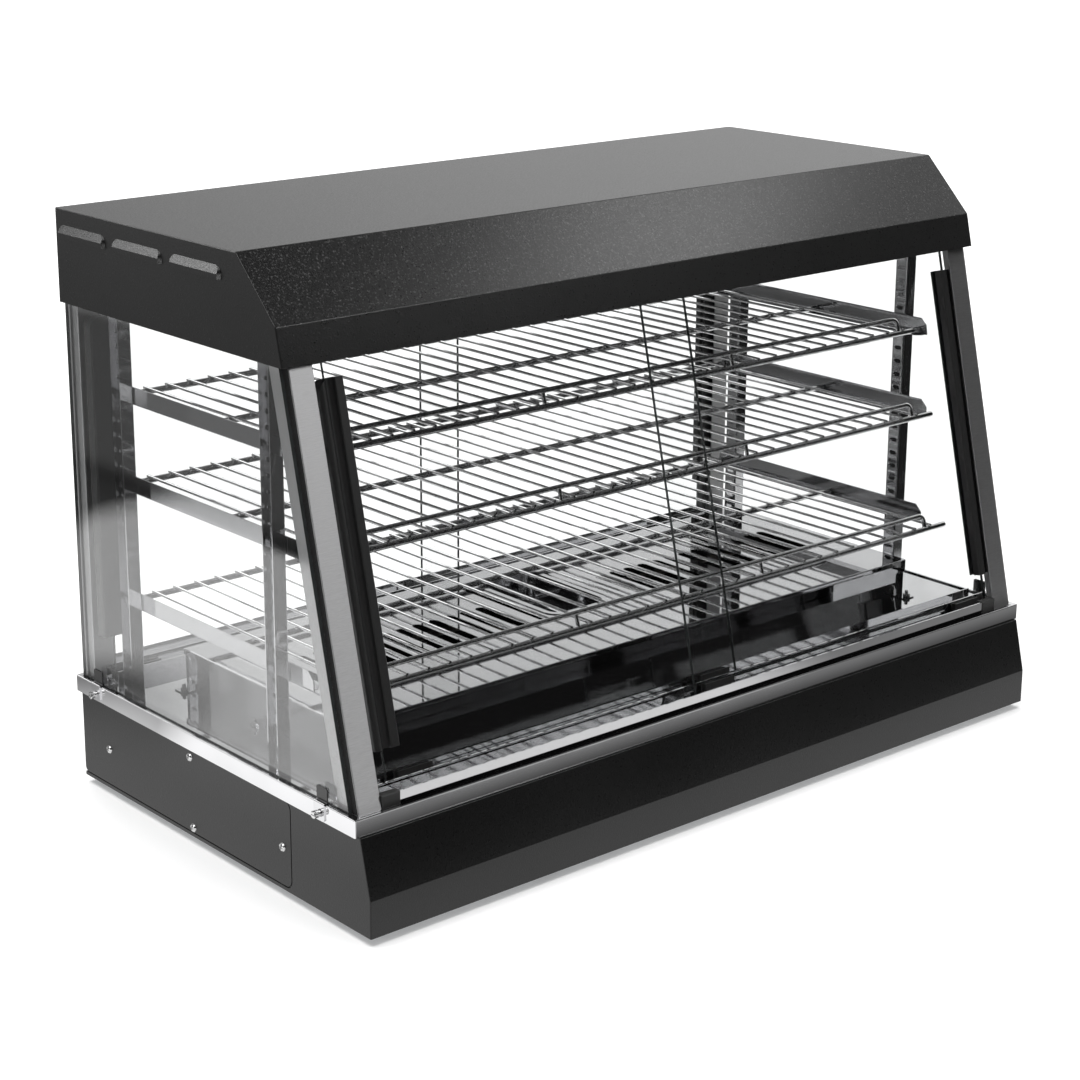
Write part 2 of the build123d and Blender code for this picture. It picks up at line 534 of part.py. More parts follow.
def handle_profile(s):
    """section of the pull: local x from the glass edge (outboard positive for s = +1),
    local y from the outer glass face, negative is proud of the glass.  The glass edge sits
    in a 4 mm groove from y 0 to 4."""
    # outer contour: flat 8-10 wide inboard, cove, bead outboard
    line1 = Polyline([(-14.5, 6.0), (-14.5, -7.6), (-13.4, -8.7), (-5.6, -8.7), (-4.6, -7.9)])
    cove = ThreePointArc((-4.6, -7.9), (0.6, -2.9), (5.6, -7.4))
    bead = ThreePointArc((5.6, -7.4), (9.4, -9.2), (13.0, -6.4))
    line2 = Polyline([(13.0, -6.4), (13.0, 4.6), (11.6, 6.0), (-14.5, 6.0)])
    sk = make_face([*line1.edges(), cove, bead, *line2.edges()])
    groove = Pos(-7.45, 2.0) * Rectangle(14.9, 4.04)      # takes the glass edge
    sk -= groove
    if s < 0:
        sk = mirror(sk, Plane.YZ)
    return sk


H_W0, H_W1 = (146.0 - ZREF) / math.cos(TH), (476.0 - ZREF) / math.cos(TH)


def handle_front(s, xedge, yref):
    h = slope_prof(handle_profile(s), xedge, yref, H_W0, H_W1)
    # outboard top corner rounded off
    pl = slope_plane(xedge, yref)
    corner = Polyline([(s * 13.2, H_W1 + 1), (s * 13.2, H_W1 - 12.0)])
    arc = ThreePointArc((s * 13.2, H_W1 - 12.0), (s * (13.0 - 12 * (1 - math.cos(math.pi / 4))), H_W1 - 12 * (1 - math.sin(math.pi / 4))), (s * 1.0, H_W1))
    close = Polyline([(s * 1.0, H_W1), (s * 1.0, H_W1 + 1), (s * 13.2, H_W1 + 1)])
    sk = make_face([*corner.edges(), arc, *close.edges()])
    # sketch axes: x -> X, y -> up the slope
    side = Plane(origin=pl.origin, x_dir=(1, 0, 0), z_dir=(0, -math.cos(TH), math.sin(TH)))
    cut = extrude(side.offset(-12) * sk, amount=26)
    return h - cut


def handle_rear(s, xedge, y0, z0, z1):
    # proud to the back: section turned round so that its outside faces +Y
    sk = mirror(handle_profile(s), Plane.XZ)
    h = up_prof(sk, xedge, y0 + GLASS_T, z0, z1)
    c = [(s * 13.2, z1 + 1), (s * 13.2, z1 - 12.0)]
    arc = ThreePointArc((s * 13.2, z1 - 12.0), (s * (13.0 - 12 * (1 - math.cos(math.pi / 4))), z1 - 12 * (1 - math.sin(math.pi / 4))), (s * 1.0, z1))
    sk2 = make_face([*Polyline(c).edges(), arc, *Polyline([(s * 1.0, z1), (s * 1.0, z1 + 1), (s * 13.2, z1 + 1)]).edges()])
    cut = extrude(Plane.XZ.offset(-(y0 + 20)) * (Pos(xedge, 0) * sk2), amount=40)
    return h - cut


put("front_door_handle_right", handle_front(1, FD_RIGHT[1], FD_OUT_Y))
put("front_door_handle_left", handle_front(-1, FD_LEFT[0], FD_IN_Y))
put("rear_door_handle_right", handle_rear(1, RD_RIGHT[1], RD_OUT_Y, 158.0, 488.0))
put("rear_door_handle_left", handle_rear(-1, RD_LEFT[0], RD_IN_Y, 158.0, 488.0))

# slide shoes on the lower glass edge, two to a door
SH_W0, SH_W1 = 1.8, 12.5


def shoes_front(x0, x1, yref):
    out = []
    for a in (x0 + 12, x1 - 52):
        b = slope_box(a, a + 40, yref, -2.2, 6.2, SH_W0, SH_W1)
        b -= slope_box(a - 1, a + 41, yref, -0.02, GLASS_T + 0.02, W0, SH_W1 + 1)
        out.append(b)
    return out


def shoes_rear(x0, x1, y0):
    out = []
    for a in (x0 + 12, x1 - 52):
        b = bx(a, a + 40, y0 - 2.2, y0 + 6.2, 110.3, 121.0)
        b -= bx(a - 1, a + 41, y0 - 0.02, y0 + GLASS_T + 0.02, DOOR_Z0, 122)
        out.append(b)
    return out


put("front_door_shoes_right", *shoes_front(FD_RIGHT[0], FD_RIGHT[1], FD_OUT_Y))
put("front_door_shoes_left", *shoes_front(FD_LEFT[0], FD_LEFT[1], FD_IN_Y))
put("rear_door_shoes_right", *shoes_rear(RD_RIGHT[0], RD_RIGHT[1], RD_OUT_Y))
put("rear_door_shoes_left", *shoes_rear(RD_LEFT[0], RD_LEFT[1], RD_IN_Y))

# ------------------------------------------------------------- heat deck
SLOT_X0, SLOT_DX, SLOT_N = 85.6, 21.1, 13
SLOT_Y0, SLOT_Y1, SLOT_W = -24.0, 52.0, 11.6
HEAT_Y0, HEAT_Y1 = -18.0, 62.0
PAN_HW, PAN_F, PAN_R = 38.0, -20.0, 112.0
dc = bx(-DECK_HW, DECK_HW, DECK_F, DECK_R, 136.4, DECK_TOP)
dc = soft(dc, edges_near(dc, lambda e, c: e.length < 14 and abs(c.Z - 143.2) < 0.1), 1.5)
dc = soft(dc, edges_near(dc, lambda e, c: abs(c.Z - DECK_TOP) < 0.01), 1.2)
dc -= bx(-DECK_HW + 1.2, DECK_HW - 1.2, DECK_F + 1.2, DECK_R - 1.2, 130, DECK_TOP - 1.2)
dc -= bx(-DECK_HW - 1, DECK_HW + 1, DECK_F + 8, DECK_R + 1, 130, 144.0)
cuts = []
for s in (-1, 1):
    for k in range(SLOT_N):
        cuts.append(slot_y(s * (SLOT_X0 + SLOT_DX * k), SLOT_Y0, SLOT_Y1, SLOT_W, 145, 152))
    cuts.append(slot_y(s * 57.0, -20, 110, 5.6, 145, 152))
pan_sk = Pos(0, (PAN_F + PAN_R) / 2) * RectangleRounded(2 * PAN_HW, PAN_R - PAN_F, 16)
cuts.append(xy(pan_sk, 145, 152))
dc -= cuts
put("deck_cover", dc)

df = bx(-DECK_HW + 1.3, DECK_HW - 1.3, DECK_F + 1.3, DECK_R - 1.3, FLOOR_Z, 148.7)
df = soft(df, edges_near(df, lambda e, c: abs(c.Z - (FLOOR_Z + 148.7) / 2) < 0.1 and e.length < 41), 1.5)
df -= bx(-DECK_HW + 2.5, DECK_HW - 2.5, DECK_F + 2.5, DECK_R - 2.5, FLOOR_Z - 1, 150)
DSCREWS = []
for s in (-1, 1):
    for y in (143.0 - 8.0, 9.2):
        df += mbx(s, DECK_HW - 1.4, 406.0, y - 8, y + 8, FLOOR_Z, 109.9)
        DSCREWS.append((s * 400.2, y))
    df += mbx(s, 376.0, 391.4, DECK_F - 14.5, DECK_F + 2, FLOOR_Z, 109.9)
    DSCREWS.append((s * 385.5, DECK_F - 8.8))
# cross walls inside the deck frame, which hold the heaters
for s in (-1, 1):
    wall = mbx(s, 330.0, 331.2, DECK_F + 2.4, DECK_R - 2.4, FLOOR_Z, 137.0)
    for y in (HEAT_Y0, HEAT_Y1):
        wall -= cylx(s * 329, s * 333, y, 130, 4.05)
    df += wall
for x, y in DSCREWS:
    df -= cylz(x, y, FLOOR_Z - 1, 112, 2.1)
put("deck_frame", df)
ds = []
for x, y in DSCREWS:
    hexa = xy(Pos(x, y) * RegularPolygon(4.0, 6), 109.9, 113.4)
    stud = cylz(x, y, FLOOR_Z, 117.2, 2.0)
    stud = soft(stud, [e for e in stud.edges().filter_by(GeomType.CIRCLE) if e.center().Z > 117], 0.5)
    ds.append(hexa + stud)
put("deck_screws", *ds)

# water pan: drops through the middle opening, its lip rests on the deck
lip = xy(Pos(0, (PAN_F + PAN_R) / 2) * RectangleRounded(2 * PAN_HW + 9, PAN_R - PAN_F + 9, 20), DECK_TOP + 0.02, DECK_TOP + 1.0)
well = xy(Pos(0, (PAN_F + PAN_R) / 2) * RectangleRounded(2 * PAN_HW - 1.0, PAN_R - PAN_F - 1.0, 15.4), 118.0, DECK_TOP + 1.0)
well = soft(well, edges_near(well, lambda e, c: abs(c.Z - 118.0) < 0.01), 5.0)
pan = lip + well
cav = xy(Pos(0, (PAN_F + PAN_R) / 2) * RectangleRounded(2 * PAN_HW - 3.0, PAN_R - PAN_F - 3.0, 14.4), 119.0, DECK_TOP + 3.0)
cav = soft(cav, edges_near(cav, lambda e, c: abs(c.Z - 119.0) < 0.01), 4.0)
pan -= cav
put("water_pan", pan)

# tubular heaters, a hairpin each side of the pan
heaters = []
for s in (-1, 1):
    path = FilletPolyline([(s * 345, HEAT_Y0, 130), (s * 80, HEAT_Y0, 130), (s * 80, HEAT_Y1, 130), (s * 345, HEAT_Y1, 130)], radius=30.0)
    h = sweep(Plane(origin=path @ 0, z_dir=path % 0) * Circle(4.0), path=path)
    heaters.append(h)
put("heating_elements", *heaters)
# ---------------------------------------------------------- rear controls
cp = xz([(222, 22), (392, 22), (392, 70), (222, 70)], 240.0, 241.2,
        rounds=[(5.0, [(222, 22), (392, 22), (392, 70), (222, 70)])])
cp -= cyly(KNOB_X, 230, 245, CTRL_Z, 5.0)
for k in SW_X:
    cp -= bx(SW_X[k] - 10.2, SW_X[k] + 10.2, 230, 245, CTRL_Z - 14.2, CTRL_Z + 14.2)
put("control_plate", cp)

th = bx(KNOB_X - 19, KNOB_X + 19, 206, 238.4, CTRL_Z - 19, CTRL_Z + 19)
th = soft(th, edges_near(th, lambda e, c: abs(c.Y - 206) < 0.01), 3.0)
th -= cyly(KNOB_X, 226, 240, CTRL_Z, 3.05)
put("thermostat", th)
put("thermostat_shaft", cyly(KNOB_X, 226.2, 252.0, CTRL_Z, 3.0))
ksk = make_face(Polyline([(3.02, 0.0), (19.5, 0.0), (19.5, 3.0), (16.8, 4.6), (15.6, 14.2), (14.0, 16.0), (0, 16.0), (0, 10.4), (3.02, 10.4)], close=True))
knob = revolve(Plane.XZ * ksk, Axis.Z)
knob -= [Pos(17.0 * math.cos(a), 17.0 * math.sin(a), 11.0) * Cylinder(1.4, 13) for a in [i * 2 * math.pi / 16 for i in range(16)]]
knob += Pos(0, 10.0, 16.1) * Box(1.8, 9.0, 0.8)
put("thermostat_knob", Pos(KNOB_X, 241.7, CTRL_Z) * (Rot(-90, 0, 0) * knob))

houses = []
for k in SW_X:
    x = SW_X[k]
    body = bx(x - 10.0, x + 10.0, 214.0, 241.2, CTRL_Z - 14.0, CTRL_Z + 14.0)
    rim = bx(x - 12.0, x + 12.0, 241.2, 242.6, CTRL_Z - 16.5, CTRL_Z + 16.5)
    rim = soft(rim, edges_near(rim, lambda e, c: e.length < 1.5), 2.0)
    hsg = body + rim
    hsg -= bx(x - 7.6, x + 7.6, 224.0, 244.0, CTRL_Z - 13.2, CTRL_Z + 13.2)
    hsg -= cylx(x - 9.0, x + 9.0, 236.0, CTRL_Z, 1.6)
    houses.append(hsg)
put("switch_housings", *houses)
for k in SW_X:
    x = SW_X[k]
    # rocker: shallow vee pressed in on its lower half at rest (off)
    pts = [(232.0, CTRL_Z - 4.0), (232.0, CTRL_Z + 4.0), (240.0, CTRL_Z + 11.0), (246.2, CTRL_Z + 10.4), (242.4, CTRL_Z), (241.8, CTRL_Z - 10.8), (239.0, CTRL_Z - 11.0)]
    rk = yz(pts, x - 7.3, x + 7.3)
    rk = soft(rk, edges_near(rk, lambda e, c: e.length > 14 and c.Y > 241), 0.6)
    rk += cylx(x - 8.9, x + 8.9, 236.0, CTRL_Z, 1.5)
    put(k + "_rocker", rk)

tb = bx(-320, -230, 170, 204, 1.6, 5.0)
for i in range(4):
    tb += bx(-316 + i * 22, -300 + i * 22, 174, 200, 4.9, 22.0)
put("terminal_block", tb)
gsk = make_face(Polyline([(4.2, -16.0), (8.0, -16.0), (8.0, 0.1), (12.0, 0.1), (12.0, 4.0), (9.0, 5.0), (7.4, 13.0), (5.6, 14.4), (4.2, 14.4)], close=True))
gland = revolve(Plane.XZ * gsk, Axis.Z)
put("cord_gland", Pos(GLAND_X, 240.0, GLAND_Z) * (Rot(-90, 0, 0) * gland))

print(len(written), "nodes", sum(written.values()), "solids")
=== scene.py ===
import json
import math

import bmesh
import bpy
from mathutils import Matrix, Vector


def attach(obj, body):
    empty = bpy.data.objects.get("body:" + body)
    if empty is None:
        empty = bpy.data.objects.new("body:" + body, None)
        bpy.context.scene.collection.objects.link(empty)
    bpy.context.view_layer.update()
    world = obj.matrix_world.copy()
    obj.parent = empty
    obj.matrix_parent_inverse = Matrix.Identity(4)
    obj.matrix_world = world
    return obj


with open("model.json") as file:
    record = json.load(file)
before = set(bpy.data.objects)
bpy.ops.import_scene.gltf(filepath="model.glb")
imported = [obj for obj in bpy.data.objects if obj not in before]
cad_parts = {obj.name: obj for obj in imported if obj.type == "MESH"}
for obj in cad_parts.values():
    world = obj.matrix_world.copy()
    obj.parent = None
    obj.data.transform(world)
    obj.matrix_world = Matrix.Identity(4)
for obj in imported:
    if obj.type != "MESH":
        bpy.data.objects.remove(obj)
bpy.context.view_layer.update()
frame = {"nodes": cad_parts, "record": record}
nodes = frame["nodes"]
record = frame["record"]
scene = bpy.context.scene

OY, OZ = -4.4, 8.0


def P(x, y, z):
    """A point of the drawing frame, in millimetres, as metres in the model's frame."""
    return Vector((x / 1000.0, (y + OY) / 1000.0, (z + OZ) / 1000.0))


# ------------------------------------------------------------------ materials

def new_mat(name):
    m = bpy.data.materials.new(name)
    m.use_nodes = True
    nt = m.node_tree
    nt.nodes.clear()
    out = nt.nodes.new("ShaderNodeOutputMaterial")
    return m, nt, out


def N(nt, kind, **props):
    n = nt.nodes.new(kind)
    for k, v in props.items():
        setattr(n, k, v)
    return n


def L(nt, a, b):
    nt.links.new(a, b)


def coords(nt, scale=(1, 1, 1), rot=(0, 0, 0)):
    tc = N(nt, "ShaderNodeTexCoord")
    mp = N(nt, "ShaderNodeMapping")
    mp.inputs["Scale"].default_value = scale
    mp.inputs["Rotation"].default_value = rot
    L(nt, tc.outputs["Object"], mp.inputs["Vector"])
    return mp.outputs["Vector"]


def noise(nt, vec, scale, detail=2.0, rough=0.5):
    n = N(nt, "ShaderNodeTexNoise")
    n.inputs["Scale"].default_value = scale
    n.inputs["Detail"].default_value = detail
    n.inputs["Roughness"].default_value = rough
    L(nt, vec, n.inputs["Vector"])
    return n.outputs["Fac"]


def span(nt, fac, lo, hi, f0=0.0, f1=1.0):
    r = N(nt, "ShaderNodeMapRange")
    r.inputs["From Min"].default_value = f0
    r.inputs["From Max"].default_value = f1
    r.inputs["To Min"].default_value = lo
    r.inputs["To Max"].default_value = hi
    L(nt, fac, r.inputs["Value"])
    return r.outputs["Result"]


def ramp2(nt, fac, c0, c1, p0=0.0, p1=1.0):
    r = N(nt, "ShaderNodeValToRGB")
    r.color_ramp.elements[0].position = p0
    r.color_ramp.elements[1].position = p1
    r.color_ramp.elements[0].color = (*c0, 1)
    r.color_ramp.elements[1].color = (*c1, 1)
    L(nt, fac, r.inputs["Fac"])
    return r.outputs["Color"]


def bump(nt, height, strength, distance, normal=None):
    b = N(nt, "ShaderNodeBump")
    b.inputs["Strength"].default_value = strength
    b.inputs["Distance"].default_value = distance
    L(nt, height, b.inputs["Height"])
    if normal is not None:
        L(nt, normal, b.inputs["Normal"])
    return b.outputs["Normal"]


def principled(nt, out, **vals):
    p = N(nt, "ShaderNodeBsdfPrincipled")
    for k, v in vals.items():
        p.inputs[k].default_value = v
    L(nt, p.outputs["BSDF"], out.inputs["Surface"])
    return p


def mat_powder(name):
    """Fine textured black powder coat: a pebbled skin about a millimetre across, with painted glints (lighter specks
    in the base colour) on faces that lean back towards the light.
    """
    m, nt, out = new_mat(name)
    v = coords(nt)
    p = principled(nt, out, **{"Metallic": 0.0, "IOR": 1.5, "Specular IOR Level": 0.5})
    fine = noise(nt, v, 950, 2.0, 0.6)
    mid = noise(nt, v, 560, 2.0, 0.5)
    big = noise(nt, v, 7, 2.0, 0.5)
    # painted glints: lighter specks added to the base colour where the sheet leans back towards the light
    geo = N(nt, "ShaderNodeNewGeometry")
    sp = N(nt, "ShaderNodeSeparateXYZ")
    L(nt, geo.outputs["True Normal"], sp.inputs[0])
    lean = N(nt, "ShaderNodeMath", operation="MULTIPLY")
    L(nt, span(nt, sp.outputs["Z"], 0, 1, 0.25, 0.40), lean.inputs[0])
    L(nt, span(nt, sp.outputs["Z"], 1, 0, 0.88, 0.96), lean.inputs[1])
    painted_glint = N(nt, "ShaderNodeMath", operation="MULTIPLY")
    L(nt, span(nt, noise(nt, v, 520, 1.0, 0.5), 0, 0.042, 0.58, 0.74), painted_glint.inputs[0])
    L(nt, lean.outputs[0], painted_glint.inputs[1])
    shade = N(nt, "ShaderNodeMath", operation="ADD")
    L(nt, span(nt, big, 0.0030, 0.0046, 0.3, 0.7), shade.inputs[0])
    L(nt, painted_glint.outputs[0], shade.inputs[1])
    L(nt, shade.outputs[0], p.inputs["Base Color"])
    L(nt, span(nt, mid, 0.35, 0.27, 0.40, 0.70), p.inputs["Roughness"])
    n1 = bump(nt, mid, 0.21, 0.0005)
    n2 = bump(nt, fine, 0.14, 0.0003, n1)
    L(nt, n2, p.inputs["Normal"])
    return m


def mat_polished(name, col=(0.70, 0.70, 0.71), r0=0.07, r1=0.15, wav=0.0):
    """Bright annealed sheet: nearly a mirror, with faint rolling lines and clouded patches."""
    m, nt, out = new_mat(name)
    p = principled(nt, out, **{"Metallic": 1.0})
    v = coords(nt)
    vs = coords(nt, (0.6, 40, 40))
    cloud = noise(nt, v, 9, 3.0, 0.6)
    lines = noise(nt, vs, 30, 2.0, 0.6)
    L(nt, ramp2(nt, cloud, tuple(c * 0.93 for c in col), col, 0.3, 0.7), p.inputs["Base Color"])
    L(nt, span(nt, cloud, r0, r1, 0.35, 0.65), p.inputs["Roughness"])
    nrm = bump(nt, lines, 0.015, 0.00004)
    if wav:
        nrm = bump(nt, noise(nt, v, 3.2, 1.0, 0.4), wav, 0.004, nrm)
    L(nt, nrm, p.inputs["Normal"])
    return m


def mat_brushed(name, col=(0.60, 0.60, 0.605), grain=(0.06, 1, 1), rough=(0.42, 0.54), across=(0, 0.23, 0.97)):
    """Satin stainless: short scratches that run along one axis; the gloss fans out across them."""
    m, nt, out = new_mat(name)
    p = principled(nt, out, **{"Metallic": 1.0, "Anisotropic": 0.9})
    tg = N(nt, "ShaderNodeCombineXYZ")
    for i, k in enumerate("XYZ"):
        tg.inputs[k].default_value = across[i]
    L(nt, tg.outputs[0], p.inputs["Tangent"])
    v = coords(nt, grain)
    g1 = noise(nt, v, 2600, 3.0, 0.7)
    g2 = noise(nt, v, 1100, 2.0, 0.6)
    cloud = noise(nt, coords(nt), 6, 2.0, 0.5)
    mix = N(nt, "ShaderNodeMath", operation="ADD")
    mix.use_clamp = False
    h1 = N(nt, "ShaderNodeMath", operation="MULTIPLY"); h1.inputs[1].default_value = 0.6
    h2 = N(nt, "ShaderNodeMath", operation="MULTIPLY"); h2.inputs[1].default_value = 0.4
    L(nt, g1, h1.inputs[0]); L(nt, g2, h2.inputs[0])
    L(nt, h1.outputs[0], mix.inputs[0]); L(nt, h2.outputs[0], mix.inputs[1])
    L(nt, ramp2(nt, mix.outputs[0], tuple(c * 0.86 for c in col), tuple(min(1, c * 1.08) for c in col), 0.35, 0.65), p.inputs["Base Color"])
    L(nt, span(nt, mix.outputs[0], rough[0], rough[1], 0.35, 0.65), p.inputs["Roughness"])
    n1 = bump(nt, mix.outputs[0], 0.16, 0.0001)
    L(nt, bump(nt, cloud, 0.05, 0.002, n1), p.inputs["Normal"])
    return m


def mat_zinc(name):
    m, nt, out = new_mat(name)
    p = principled(nt, out, **{"Metallic": 1.0})
    v = coords(nt)
    vo = N(nt, "ShaderNodeTexVoronoi"); vo.inputs["Scale"].default_value = 120
    L(nt, v, vo.inputs["Vector"])
    L(nt, ramp2(nt, vo.outputs["Distance"], (0.42, 0.43, 0.44), (0.58, 0.59, 0.60), 0.1, 0.8), p.inputs["Base Color"])
    L(nt, span(nt, noise(nt, v, 60, 3.0), 0.30, 0.50), p.inputs["Roughness"])
    L(nt, bump(nt, noise(nt, v, 500, 2.0), 0.08, 0.0002), p.inputs["Normal"])
    return m


def mat_chrome(name, col=(0.84, 0.84, 0.845), r0=0.04, r1=0.09):
    m, nt, out = new_mat(name)
    p = principled(nt, out, **{"Metallic": 1.0})
    v = coords(nt)
    cl = noise(nt, v, 45, 3.0, 0.6)
    L(nt, ramp2(nt, cl, tuple(c * 0.94 for c in col), col, 0.3, 0.7), p.inputs["Base Color"])
    L(nt, span(nt, cl, r0, r1, 0.35, 0.65), p.inputs["Roughness"])
    L(nt, bump(nt, noise(nt, v, 420, 2.0), 0.06, 0.0001), p.inputs["Normal"])
    return m


def mat_plastic(name, col, r0, r1, grain=900, strength=0.10, spec=0.5):
    m, nt, out = new_mat(name)
    p = principled(nt, out, **{"Metallic": 0.0, "IOR": 1.5, "Specular IOR Level": spec})
    v = coords(nt)
    cl = noise(nt, v, 25, 3.0, 0.6)
    L(nt, ramp2(nt, cl, tuple(c * 0.85 for c in col), tuple(c * 1.1 for c in col), 0.3, 0.7), p.inputs["Base Color"])
    L(nt, span(nt, noise(nt, v, grain, 2.0), r0, r1, 0.3, 0.7), p.inputs["Roughness"])
    L(nt, bump(nt, noise(nt, v, grain, 2.0), strength, 0.0002), p.inputs["Normal"])
    return m


def mat_anodised(name):
    """Black extruded profile with a smooth satin sheen."""
    m, nt, out = new_mat(name)
    p = principled(nt, out, **{"Metallic": 0.0, "IOR": 1.5, "Specular IOR Level": 0.6})
    v = coords(nt, (1, 1, 0.05))
    g = noise(nt, v, 900, 2.0, 0.6)
    L(nt, ramp2(nt, g, (0.012, 0.012, 0.0122), (0.016, 0.016, 0.0162), 0.3, 0.7), p.inputs["Base Color"])
    L(nt, span(nt, g, 0.34, 0.39, 0.3, 0.7), p.inputs["Roughness"])
    L(nt, bump(nt, g, 0.012, 0.0001), p.inputs["Normal"])
    return m


def mat_glass(name, face, tint=(0.985, 0.988, 0.987), edge=(0.022, 0.024, 0.024), ior=1.5):
    """Clear pane: see-through faces with a Fresnel reflection, dark polished edges. face is the pane's normal."""
    m, nt, out = new_mat(name)
    tr = N(nt, "ShaderNodeBsdfTransparent"); tr.inputs["Color"].default_value = (*tint, 1)
    gl = N(nt, "ShaderNodeBsdfGlossy")
    gl.inputs["Color"].default_value = (1, 1, 1, 1)
    v = coords(nt)
    gl.inputs["Roughness"].default_value = 0.0
    smudge = noise(nt, v, 14, 3.0, 0.6)
    L(nt, ramp2(nt, smudge, tuple(c * 0.996 for c in tint), tint, 0.35, 0.65), tr.inputs["Color"])
    fr = N(nt, "ShaderNodeFresnel")
    side = N(nt, "ShaderNodeNewGeometry")
    # the same outside reflection on both faces of the pane
    L(nt, span(nt, side.outputs["Backfacing"], ior, 1 / ior), fr.inputs["IOR"])
    mix = N(nt, "ShaderNodeMixShader")
    L(nt, fr.outputs[0], mix.inputs["Fac"]); L(nt, tr.outputs[0], mix.inputs[1]); L(nt, gl.outputs[0], mix.inputs[2])
    # edge faces
    geo = N(nt, "ShaderNodeNewGeometry")
    dot = N(nt, "ShaderNodeVectorMath", operation="DOT_PRODUCT"); dot.inputs[1].default_value = face
    L(nt, geo.outputs["True Normal"], dot.inputs[0])
    ab = N(nt, "ShaderNodeMath", operation="ABSOLUTE"); L(nt, dot.outputs["Value"], ab.inputs[0])
    lt = N(nt, "ShaderNodeMath", operation="LESS_THAN"); L(nt, ab.outputs[0], lt.inputs[0]); lt.inputs[1].default_value = 0.6
    ed = N(nt, "ShaderNodeBsdfPrincipled")
    ed.inputs["Base Color"].default_value = (*edge, 1)
    ed.inputs["Roughness"].default_value = 0.12
    L(nt, ramp2(nt, noise(nt, v, 60, 2.0), tuple(c * 0.7 for c in edge), tuple(c * 1.5 for c in edge)), ed.inputs["Base Color"])
    mx = N(nt, "ShaderNodeMixShader")
    L(nt, lt.outputs[0], mx.inputs["Fac"]); L(nt, mix.outputs[0], mx.inputs[1]); L(nt, ed.outputs[0], mx.inputs[2])
    L(nt, mx.outputs[0], out.inputs["Surface"])
    return m


def mat_lamp(name):
    m, nt, out = new_mat(name)
    p = principled(nt, out, **{"Roughness": 0.35, "IOR": 1.45})
    v = coords(nt, (0.2, 1, 1))
    L(nt, ramp2(nt, noise(nt, v, 80, 2.0), (0.78, 0.77, 0.73), (0.92, 0.91, 0.88), 0.3, 0.7), p.inputs["Base Color"])
    L(nt, bump(nt, noise(nt, v, 700, 2.0), 0.05, 0.0002), p.inputs["Normal"])
    return m


def mat_heater(name):
    m, nt, out = new_mat(name)
    p = principled(nt, out, **{"Metallic": 1.0})
    v = coords(nt)
    L(nt, ramp2(nt, noise(nt, v, 40, 4.0, 0.7), (0.10, 0.085, 0.07), (0.34, 0.31, 0.28), 0.35, 0.7), p.inputs["Base Color"])
    L(nt, span(nt, noise(nt, v, 200, 3.0), 0.40, 0.65), p.inputs["Roughness"])
    L(nt, bump(nt, noise(nt, v, 600, 2.0), 0.12, 0.0002), p.inputs["Normal"])
    return m


SL = 0.236
door_n = Vector((0, -1, SL)).normalized()
M = {
    "painted_black": mat_powder("painted_black"),
    "polished_steel": mat_polished("polished_steel"),
    "brushed_steel": mat_brushed("brushed_steel"),
    "chrome_wire": mat_chrome("chrome_wire"),
    "zinc_steel": mat_zinc("zinc_steel"),
    "handle_black": mat_anodised("handle_black"),
    "black_plastic": mat_plastic("black_plastic", (0.018, 0.018, 0.018), 0.38, 0.52),
    "rubber_black": mat_plastic("rubber_black", (0.02, 0.02, 0.02), 0.65, 0.85, 500, 0.2, 0.3),
    "screw_steel": mat_chrome("screw_steel", (0.70, 0.70, 0.70), 0.12, 0.24),
    "heater_steel": mat_heater("heater_steel"),
    "lamp_glass": mat_lamp("lamp_glass"),
    "ceramic_white": mat_plastic("ceramic_white", (0.78, 0.76, 0.70), 0.18, 0.30, 400, 0.04),
}
glass_side = mat_glass("glass_side", (1, 0, 0), ior=1.7)
glass_front = mat_glass("glass_front", tuple(door_n))
glass_rear = mat_glass("glass_rear", (0, 1, 0))
strip_mat = mat_polished("strip_steel", (0.62, 0.62, 0.63), 0.04, 0.08)
rail_mat = mat_polished("rail_steel", (0.56, 0.56, 0.57), 0.05, 0.10)
deck_mat = mat_polished("deck_steel", (0.66, 0.66, 0.67), 0.02, 0.05, 0.05)
tray_mat = mat_polished("tray_steel", (0.78, 0.78, 0.79), 0.02, 0.05, 0.02)
clip_mat = mat_polished("clip_steel", (0.72, 0.72, 0.73), 0.07, 0.14)


def dip(mat, z_mm):
    """Black sleeve over the part of the piece above a height."""
    nt = mat.node_tree
    pr = next(n for n in nt.nodes if n.type == "BSDF_PRINCIPLED")
    out = next(n for n in nt.nodes if n.type == "OUTPUT_MATERIAL")
    tcd = N(nt, "ShaderNodeTexCoord")
    sp = N(nt, "ShaderNodeSeparateXYZ")
    L(nt, tcd.outputs["Object"], sp.inputs[0])
    gt = N(nt, "ShaderNodeMath", operation="GREATER_THAN")
    gt.inputs[1].default_value = (z_mm + OZ) / 1000.0
    L(nt, sp.outputs["Z"], gt.inputs[0])
    blk = N(nt, "ShaderNodeBsdfPrincipled")
    L(nt, ramp2(nt, noise(nt, tcd.outputs["Object"], 400, 2.0), (0.010, 0.010, 0.010), (0.018, 0.018, 0.018)), blk.inputs["Base Color"])
    blk.inputs["Roughness"].default_value = 0.22
    mx = N(nt, "ShaderNodeMixShader")
    L(nt, gt.outputs[0], mx.inputs["Fac"]); L(nt, pr.outputs["BSDF"], mx.inputs[1]); L(nt, blk.outputs["BSDF"], mx.inputs[2])
    L(nt, mx.outputs[0], out.inputs["Surface"])


dip(clip_mat, 111.6)
# painted shade: the hood liner is the same stainless steel, given a much darker colour to stand in for the dim light
# inside the hood
shaded_liner_mat = mat_brushed("liner_steel_painted_shade", (0.22, 0.22, 0.225), (0.06, 1, 1), (0.45, 0.6), (0, 1, 0))

slot_of = {s["node"]: s["material_slot"] for s in record["subparts"]}


